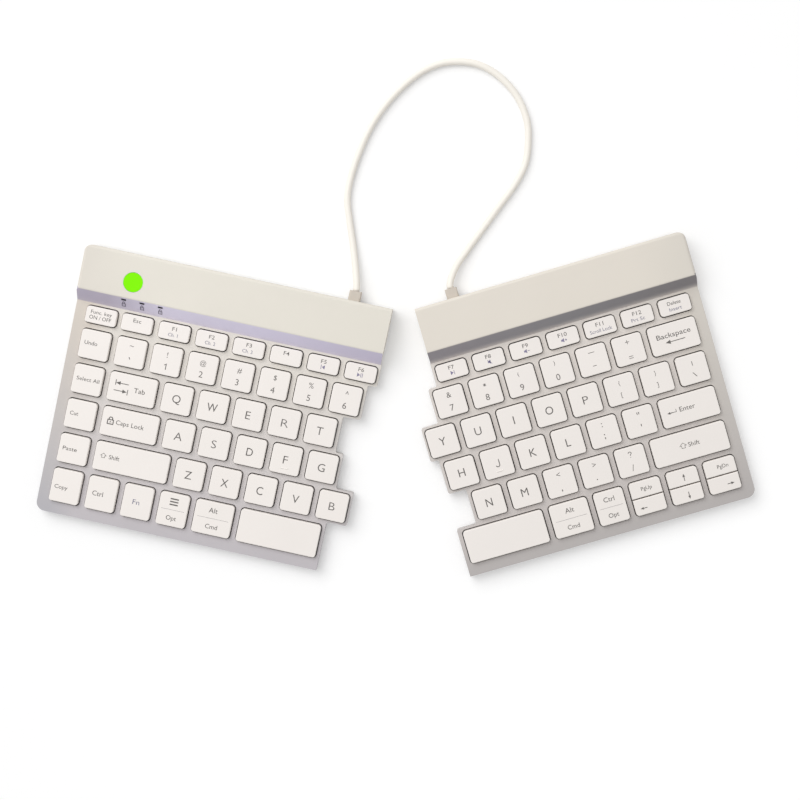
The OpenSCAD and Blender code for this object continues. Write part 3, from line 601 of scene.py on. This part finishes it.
def ribbon(points, closed=False, width=stroke, ink=GREY):
    """A line of even width with mitred corners, which are cut short where the turn is sharp."""
    sharpest = 0.4
    count = len(points)
    edges = []
    for index in range(count):
        here = Vector(points[index])
        ahead = Vector(points[(index + 1) % count]) - here
        behind = here - Vector(points[index - 1])
        if not closed and index == 0:
            behind = ahead.copy()
        if not closed and index == count - 1:
            ahead = behind.copy()
        ahead.normalize()
        behind.normalize()
        turn = (ahead + behind).normalized()
        side_way = Vector((-turn.y, turn.x)) * (width / 2 / max(turn.dot(ahead), sharpest))
        edges.append((here + side_way, here - side_way))
    pairs = list(zip(edges, edges[1:]))
    if closed:
        pairs.append((edges[-1], edges[0]))
    return [(ink, [tuple(a), tuple(b), tuple(d), tuple(c)]) for (a, b), (c, d) in pairs]


def arrow(start, end, head):
    """A straight arrow with a filled head of this length."""
    shaft, half_head = 0.38, 0.42 * head
    start, end = Vector(start), Vector(end)
    way = (end - start).normalized()
    square = Vector((-way.y, way.x)) * half_head
    neck = end - way * head
    barbs = [tuple(neck + square), tuple(neck - square), tuple(end)]
    return ribbon([tuple(start), tuple(neck)], width=shaft) + filled(barbs)


def placed(points, x, y, width=1.0, height=1.0):
    """A sign's points, scaled and moved."""
    return [(x + px * width, y + py * height) for px, py in points]


def shift_sign(x, y, size=1.0):
    """Hollow arrow for Shift."""
    house = [(0, 1.3), (1.5, 0), (0.75, 0), (0.75, -1.1), (-0.75, -1.1), (-0.75, 0), (-1.5, 0)]
    return ribbon(placed(house, x, y, size, size), closed=True, width=0.24)


def padlock(letter, size, x=0.0, y=0.0, ink=GREY, widen=1.0, line=0.17):
    """Padlock with a letter in its body; line is its line width for a size of 1."""
    body = [(-0.5, -0.55), (0.5, -0.55), (0.5, 0.2), (-0.5, 0.2)]
    shackle = [(-0.3, 0.2), (-0.3, 0.5), (-0.15, 0.65), (0.15, 0.65), (0.3, 0.5), (0.3, 0.2)]
    width = size * widen
    return (ribbon(placed(body, x, y, width, size), True, line * size, ink)
            + ribbon(placed(shackle, x, y, width, size), False, line * size, ink)
            + word(letter, 0.42 * size, x, y - 0.17 * size, ink=ink, widen=widen))


def upper_sign(text, x=0.1, y=3.1, height=2.8):
    """Sign that is typed with Shift, in the upper half of a cap."""
    return word(text, height, x, y)


def lower_sign(text, x=0.0, y=-3.1, height=3.2):
    return word(text, height, x, y)


def dash(half_length, y):
    return ribbon([(-half_length, y), (half_length, y)])


def star(x, y, reach):
    """Three crossed lines."""
    marks = []
    for turn in (30, 90, 150):
        way = Vector((math.cos(math.radians(turn)), math.sin(math.radians(turn)))) * reach
        marks += ribbon([(x - way.x, y - way.y), (x + way.x, y + way.y)])
    return marks


def question_mark(x, y):
    hook = [(-0.85, 0.8), (-0.6, 1.25), (0.0, 1.45), (0.6, 1.25),
            (0.8, 0.75), (0.6, 0.3), (0.1, -0.1), (0.0, -0.6)]
    dot = [(0.0, -1.15), (0.0, -1.5)]
    return ribbon(placed(hook, x, y), width=0.34) + ribbon(placed(dot, x, y), width=0.36)


def brackets(upper, lower):
    """Two brackets on one key, smaller than other signs are."""
    return upper_sign(upper, -0.1, 3.4, 2.0) + lower_sign(lower, -0.3, -2.6, 2.2)


def divided(upper, lower, half_line):
    """Two meanings on one front key, with a thin line between them."""
    return (upper + ribbon([(-half_line, 0), (half_line, 0)], width=0.16, ink=PALE)
            + word(lower, front_h, 0, -4.3))


def top_key(text, below=()):
    """Name of a top-row key, and its second function below."""
    return word(text, top_h, 0.0, name_y, widen=1.2) + list(below)


def second(text, x=0.0, widen=1.0):
    return word(text, second_h, x, second_y, ink=MIST, widen=widen)


def triangle(x, way):
    """Triangle of a media sign, pointing right for a way of 1 and left for -1."""
    return filled([(x, icon_rear), (x + way * 1.5, icon_middle), (x, icon_front)], VIOLET)


def upright(x):
    return ribbon([(x, icon_rear), (x, icon_front)], ink=VIOLET)


def speaker(x):
    coil_rear, coil_front = -0.8, -1.8
    horn = [(x, coil_front), (x, coil_rear), (x + 0.6, coil_rear),
            (x + 1.5, icon_rear), (x + 1.5, icon_front), (x + 0.6, coil_front)]
    return filled(horn, VIOLET)


def menu_sign(y):
    """Three bars."""
    return [mark for step in (-1.5, 0.0, 1.5)
            for mark in ribbon([(-2.2, y + step), (2.2, y + step)], width=0.7)]


minus = ribbon([(0.6, icon_middle), (1.7, icon_middle)], ink=VIOLET)
plus = minus + ribbon([(1.15, -0.75), (1.15, -1.85)], ink=VIOLET)
cross = ribbon([(-0.9, -0.2), (1.2, -2.5)], width=0.2, ink=VIOLET)
shortcut_x = -5.9
# Each node's print, key by key from the rear row to the front one, in millimetres from the cap's middle
legends = {
    "left_function_keys": [
        word("Func. key", 1.8, 0.0, 1.6, widen=1.13) + word("ON / OFF", 1.9, -0.2, -1.2),
        top_key("Esc"), top_key("F1", second("Ch. 1", -0.3)), top_key("F2", second("Ch. 2", -0.3)),
        top_key("F3", second("Ch. 3", -0.3)), top_key("F4"),
        top_key("F5", triangle(1.0, -1) + upright(-0.9)),
        top_key("F6", triangle(-1.6, 1) + upright(0.3) + upright(1.1)),
    ],
    "left_number_keys": [
        upper_sign("~", 0.1, 3.9) + ribbon([(-0.2, -2.2), (0.4, -3.3)], width=0.42),
        upper_sign("!", 0.2) + ribbon([(-0.5, -2.3), (0.5, -1.65), (0.5, -4.6)], width=0.42),
        upper_sign("@", 0.1, 2.9, 2.4) + lower_sign("2"), upper_sign("#", 0.4) + lower_sign("3", 0.2),
        upper_sign("$", 0.2, 3.4, 2.5) + lower_sign("4"), upper_sign("%", 0.2, 3.4) + lower_sign("5"),
        upper_sign("^") + lower_sign("6"),
    ],
    "left_control_keys": [
        word("Undo", 2.0, shortcut_x + 0.5, 0.75, 0, widen=1.06),
        word("Select All", 1.9, shortcut_x + 0.2, 0.3, 0, widen=1.17),
        arrow((-2.1, 2.1), (-8.9, 2.1), 2.4) + ribbon([(-9.0, 3.7), (-9.0, 0.8)], width=0.4)
        + arrow((-9.4, -1.9), (-2.4, -1.9), 2.4) + ribbon([(-2.1, -0.5), (-2.1, -3.4)], width=0.4)
        + word("Tab", 2.5, 1.0, 0.0, 0, widen=1.08),
        word("Cut", 2.0, shortcut_x + 0.35, 0.3, 0),
        padlock("A", 3.0, -10.1, 0.4) + word("Caps Lock", 2.3, -7.2, 0.3, 0, widen=1.04),
        word("Paste", 2.0, shortcut_x + 0.3, 0.1, 0, widen=1.26),
        shift_sign(-14.9, 0.4) + word("Shift", 2.2, -11.9, 0.3, 0),
        word("Copy", 2.0, shortcut_x, -0.7, 0, widen=1.1),
        word("Ctrl", 2.5, -2.0, 0.0),
        word("Fn", 2.5, -0.5, -0.1, ink=MIST, widen=1.2),
        divided(menu_sign(4.2), "Opt", 6.1),
        divided(word("Alt", 2.6, -0.5, 4.2), "Cmd", 8.2),
    ],
    "right_function_keys": [
        top_key("F7", triangle(-1.0, 1) + upright(0.9)), top_key("F8", speaker(-0.9) + cross),
        top_key("F9", speaker(-1.3) + minus), top_key("F10", speaker(-1.3) + plus),
        top_key("F11", second("Scroll Lock")), top_key("F12", second("Prt Sc", -0.1, 1.2)),
        word("Delete", 1.8, -0.2, 1.5) + second("Insert", -0.1, 1.12),
    ],
    "right_number_and_sign_keys": [
        upper_sign("&", 0.0, 3.6) + lower_sign("7"), star(0.1, 3.3, 0.85) + lower_sign("8"),
        upper_sign("(", -0.8, 3.9, 2.0) + lower_sign("9", -0.6, -3.2),
        upper_sign(")", -0.6, 4.3, 2.0) + lower_sign("0", -0.5, -3.3),
        dash(1.65, 4.0) + dash(1.0, -3.0),
        dash(1.05, 4.0) + ribbon([(0.0, 5.05), (0.0, 2.95)]) + dash(1.1, -3.5) + dash(1.1, -4.5),
        brackets("{", "["), brackets("}", "]"),
        ribbon([(0.3, 3.9), (0.3, 1.7)], width=0.36) + ribbon([(-0.6, -1.8), (1.1, -4.2)], width=0.36),
        upper_sign(":", -0.2, 4.2, 3.2) + lower_sign(";", -0.2, -1.7, 3.6),
        upper_sign("\"", 0.1, 3.0, 3.6) + lower_sign("'", 0.2, -3.4, 3.8),
        upper_sign("<", -0.2, 3.8) + lower_sign(",", -0.3, -2.9, 3.6),
        upper_sign(">", -0.2, 3.6) + lower_sign(".", -0.5, -2.6, 3.6),
        question_mark(0.0, 3.5) + lower_sign("/", -0.3, -3.4),
    ],
    "right_control_keys": [
        word("Backspace", 2.5, 0.0, 1.6, widen=1.2) + arrow((5.3, -2.0), (-5.0, -2.0), 2.6),
        ribbon([(-6.9, 1.2), (-6.9, -0.2), (-10.0, -0.2)]) + arrow((-9.0, -0.2), (-11.7, -0.2), 1.6)
        + word("Enter", 2.4, -5.1, 0.4, 0, widen=1.08),
        shift_sign(-3.6, 0.4, 1.15) + word("Shift", 2.2, -1.0, 0.3, 0, widen=1.08),
        word("PgUp", 1.9, 0.4, 0.1), arrow((0.6, -2.0), (0.6, 1.8), 1.7), word("PgDn", 1.9, 1.4, 0.1),
        divided(word("Alt", 2.6, 0.1, 4.4), "Cmd", 8.2),
        divided(word("Ctrl", 2.5, -0.3, 4.2), "Opt", 6.1),
        arrow((-1.8, -0.8), (-5.4, -0.8), 1.7), arrow((0.8, 1.1), (0.8, -2.7), 1.7),
        arrow((1.4, -0.6), (5.0, -0.6), 1.7),
    ],
}


def pieces_in(name, side):
    """Middles of a node's separate solids in reading order, as reaches along and across the half."""
    row_gap = 2 * mm
    axes = half_axes(side)
    middles = [middle_of(plan_of(solid, axes)) for solid in solids_in(name)]
    middles.sort(key=lambda spot: -spot[1])
    rows = []
    for spot in middles:
        if not rows or rows[-1][0][1] - spot[1] > row_gap:
            rows.append([])
        rows[-1].append(spot)
    return [spot for row in rows for spot in sorted(row)]


def lay_print(name, body, prints):
    """Builds the print of one body: marks in millimetres, each laid on its own spot and directions."""
    shape = bmesh.new()
    used = sorted({ink for marks, spot, right, up in prints for ink, points in marks})
    for marks, spot, right, up in prints:
        normal = right.cross(up)
        for ink, points in marks:
            corners = [spot + right * (x * mm) + up * (y * mm) + normal * print_gap for x, y in points]
            face = shape.faces.new([shape.verts.new(corner) for corner in corners])
            face.material_index = used.index(ink)
            face.normal_update()
            if face.normal.dot(normal) < 0:
                face.normal_flip()
    bmesh.ops.remove_doubles(shape, verts=shape.verts, dist=corner_gap)
    layer = new_piece(name, shape)
    for ink in used:
        layer.data.materials.append(inks[ink])
    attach(layer, body)


cap_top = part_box("key_a")[1].z
usual_spot = (-0.2, -0.1)
letter_widths = {"A": 1.07, "B": 1.15, "C": 0.92, "D": 0.9, "E": 1.1, "F": 1.14, "L": 0.98, "M": 0.95,
                 "N": 0.9, "O": 0.92, "P": 1.15, "R": 1.28, "S": 1.18, "W": 0.86, "X": 0.9}
letter_spots = {"Q": (-0.2, 0.2), "Z": (-0.5, -0.2), "X": (-0.2, -0.2), "C": (-0.5, -0.2),
                "V": (-0.4, -0.4), "I": (0.0, 0.2), "P": (0.1, -0.1),
                "H": (0.0, 0.1), "K": (0.05, 0.05), "R": (0.3, -0.1)}
hooked_j = [(1.0, 1.65), (1.0, -1.1), (0.85, -1.75), (0.35, -2.15),
            (-0.3, -2.15), (-0.75, -1.85), (-0.95, -1.4)]
for name in key_bodies:
    if name == "key_j":
        legends[name] = [ribbon(hooked_j, width=0.44)]
    elif name.startswith("key_"):
        letter = name[-1].upper()
        x, y = letter_spots.get(letter, usual_spot)
        legends[name] = [word(letter, letter_h, x, y, widen=letter_widths.get(letter, 1.0))]
    if name in legends:
        side = side_of(name)
        along, across = half_axes(side)
        spots = [along * reach + across * depth + Vector((0, 0, cap_top))
                 for reach, depth in pieces_in(name, side)]
        lay_print("print_" + name, name,
                  [(marks, spot, along, across) for marks, spot in zip(legends[name], spots)])

# Small padlocks are printed on the slope, in front of the lock lamps
along, across = half_axes("left")
foot = span("left_rear_cover", across)[0]
deck_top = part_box("left_deck")[1].z
slope_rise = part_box("left_rear_cover")[1].z - deck_top
up_slope = (across * slope_d + Vector((0, 0, slope_rise))).normalized()
lock_gap = 2.3 * mm
lock_prints = []
for letter, (reach, depth) in zip("1AS", pieces_in("indicator_lamps", "left")[1:]):
    run = depth - foot - lock_gap
    spot = along * reach + across * (foot + run) + Vector((0, 0, deck_top + run * slope_rise / slope_d))
    lock_prints.append((padlock(letter, 2.8, ink=DARK, widen=0.6, line=0.14), spot, along, up_slope))
lay_print("print_locks", "left_half", lock_prints)


# Link cable and its grips
# A soft round cable joins the halves and lies in one loop on the desk behind them.
# Each end goes into a moulded grip that is held in the rear wall of its housing.
cable_d = 3.5 * mm
grip_z = 5.2 * mm
cable_lay_z = cable_d / 2 + 0.05 * mm
# The route on the desk, from the left grip to the right one: x, y and lift, in millimetres
cable_route = [
    (-19, 68.5, 2.2), (-20.5, 82.5, 0.4), (-22.5, 96.5, 0), (-23.5, 107.5, 0), (-21.5, 118.5, 0),
    (-17, 131.5, 0), (-10.5, 145, 0), (-1, 158, 0), (11, 169, 0), (22.5, 175, 0), (34, 176.5, 0),
    (45, 174.5, 0), (55, 168.5, 0), (63.5, 159, 0), (68.5, 147.5, 0), (69.5, 136.5, 0), (68, 124.5, 0),
    (62.5, 113.5, 0), (54.5, 102.5, 0), (46.5, 91.5, 0), (38.5, 80.5, 0.4), (32, 70.5, 2.2),
]


def grip_exit(side):
    """Middle of the grip's rear face, where the cable leaves it, and the direction it leaves in."""
    along, across = half_axes(side)
    left, right = span(side + "_cable_grip", along)
    rear = span(side + "_cable_grip", across)[1]
    return along * ((left + right) / 2) + across * rear + Vector((0, 0, grip_z)), across


left_exit, left_way = grip_exit("left")
right_exit, right_way = grip_exit("right")
cable_points = [left_exit]
cable_points += [Vector((x * mm, y * mm, cable_lay_z + lift * mm)) for x, y, lift in cable_route]
cable_points += [right_exit]
end_pull = 9 * mm


def cable_tangent(index):
    """Direction at a point of the route: out of the grips at its ends, else along its neighbours."""
    if index == 0:
        return left_way * end_pull
    if index == len(cable_points) - 1:
        return -right_way * end_pull
    return (cable_points[index + 1] - cable_points[index - 1]) / 2


def cable_line(steps):
    """Smooth line through the route's points, never below the desk."""
    line = []
    for index in range(len(cable_points) - 1):
        a, b = cable_points[index], cable_points[index + 1]
        ta, tb = cable_tangent(index), cable_tangent(index + 1)
        for step in range(steps):
            t = step / steps
            point = (a * (2 * t**3 - 3 * t**2 + 1) + ta * (t**3 - 2 * t**2 + t)
                     + b * (3 * t**2 - 2 * t**3) + tb * (t**3 - t**2))
            point.z = max(point.z, cable_lay_z)
            line.append(point)
    return line + [cable_points[-1]]


def swept_tube(name, line, radius, corners):
    """Round tube along a line, closed at both ends."""
    shape = bmesh.new()
    rings = []
    for index, point in enumerate(line):
        ahead = line[min(index + 1, len(line) - 1)]
        behind = line[max(index - 1, 0)]
        forward = (ahead - behind).normalized()
        side_way = forward.cross(Vector((0, 0, 1))).normalized()
        up_way = side_way.cross(forward)
        ring = []
        for corner in range(corners):
            angle = math.tau * corner / corners
            outward = math.cos(angle) * side_way + math.sin(angle) * up_way
            ring.append(shape.verts.new(point + radius * outward))
        rings.append(ring)
    for lower, upper in zip(rings, rings[1:]):
        for corner in range(corners):
            after = (corner + 1) % corners
            shape.faces.new((lower[corner], upper[corner], upper[after], lower[after])).smooth = True
    shape.faces.new(rings[0])
    shape.faces.new(list(reversed(rings[-1])))
    bmesh.ops.recalc_face_normals(shape, faces=shape.faces)
    return new_piece(name, shape)


line = cable_line(steps=8)
cable = swept_tube("cable_sheath", line, radius=cable_d / 2, corners=24)
cable.data.materials.append(moulded("cable sheath", colour(251, 246, 237), 0.5, 0.01 * mm, 1500.0))
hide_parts("link_cable")
# The end of the cable's first rise, where it runs away from the hinge and isn't squeezed
turn_way = Vector((1.0, 0.7, 0.0))
turn_end = left_exit + (right_exit - left_exit).project(turn_way)
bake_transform(cable)
cable_length = sum((b - a).length for a, b in zip(line, line[1:]))
grip_finish = moulded("grip plastic", colour(207, 198, 187), 0.6, 0.02 * mm)
for side in sides:
    dress(side + "_cable_grip", grip_finish)
    broken_edges(side + "_cable_grip", 0.3 * mm)


# Stage
# A pale floor under soft light from the upper left, and the camera high above the desk.
# Lamp and world together light the object at a level at which colours come out about as written.
away_from_lamp = (0.652, -0.757, 0.0)
lift_reach = 0.4
least_lift, lift_gain = 0.111, 0.25


def floor_finish():
    """White paper: it takes shadows, and is lifted to white for the camera and in reflections.

    The lift makes up for the lamp's light, which falls off across the paper.
    """
    material = bpy.data.materials.new("stage paper")
    material.use_nodes = True
    tree = material.node_tree
    tree.nodes.clear()
    start = Shade(tree)
    path = tree.nodes.new("ShaderNodeLightPath")
    seen = Shade(tree, path.outputs["Is Camera Ray"])
    mirrored = Shade(tree, path.outputs["Is Glossy Ray"])
    passed = Shade(tree, path.outputs["Is Transmission Ray"])
    shown = start.math("MINIMUM", seen + mirrored + passed, 1.0)
    place = start.make("TexCoord", out="Object")
    falloff = share_along(place, away_from_lamp, -lift_reach, lift_reach)
    paper = start.make("BsdfDiffuse", None, {"Color": (0.8, 0.8, 0.8, 1.0)})
    strength = shown * (falloff * lift_gain + least_lift)
    lift = start.make("Emission", None, {"Color": (1.0, 1.0, 1.0, 1.0), "Strength": strength})
    both = start.make("AddShader", None, {0: paper, 1: lift})
    output = tree.nodes.new("ShaderNodeOutputMaterial")
    tree.links.new(both.socket, output.inputs["Surface"])
    return material


floor_shape = bmesh.new()
bmesh.ops.create_grid(floor_shape, x_segments=1, y_segments=1, size=6.0)
floor = new_piece("stage_floor", floor_shape)
floor.data.materials.append(floor_finish())


def area_light(name, place, aim, size, watts):
    light = bpy.data.lights.new(name, "AREA")
    light.size = size
    light.energy = watts
    lamp = bpy.data.objects.new(name, light)
    lamp.location = place
    lamp.rotation_euler = (Vector(aim) - Vector(place)).to_track_quat("-Z", "Y").to_euler()
    bpy.context.scene.collection.objects.link(lamp)


area_light("key light", place=(-0.71, 0.82, 1.3), aim=(-0.03, 0.02, 0), size=1.4, watts=18.9)
world = bpy.data.worlds.new("studio")
bpy.context.scene.world = world
world.use_nodes = True
sky = world.node_tree.nodes["Background"]
sky.inputs["Color"].default_value = (1.0, 1.0, 1.0, 1.0)
sky.inputs["Strength"].default_value = 0.552

camera_data = bpy.data.cameras.new("camera")
camera_data.sensor_width = 36.0
camera_data.lens = 69.16
camera = bpy.data.objects.new("camera", camera_data)
camera.location = (29.74 * mm, 49.5 * mm, 798.4 * mm)
camera.rotation_euler = (math.radians(-3.353), math.radians(1.878), math.radians(-0.034))
bpy.context.scene.collection.objects.link(camera)
bpy.context.scene.camera = camera
bpy.context.scene.view_settings.view_transform = "Standard"
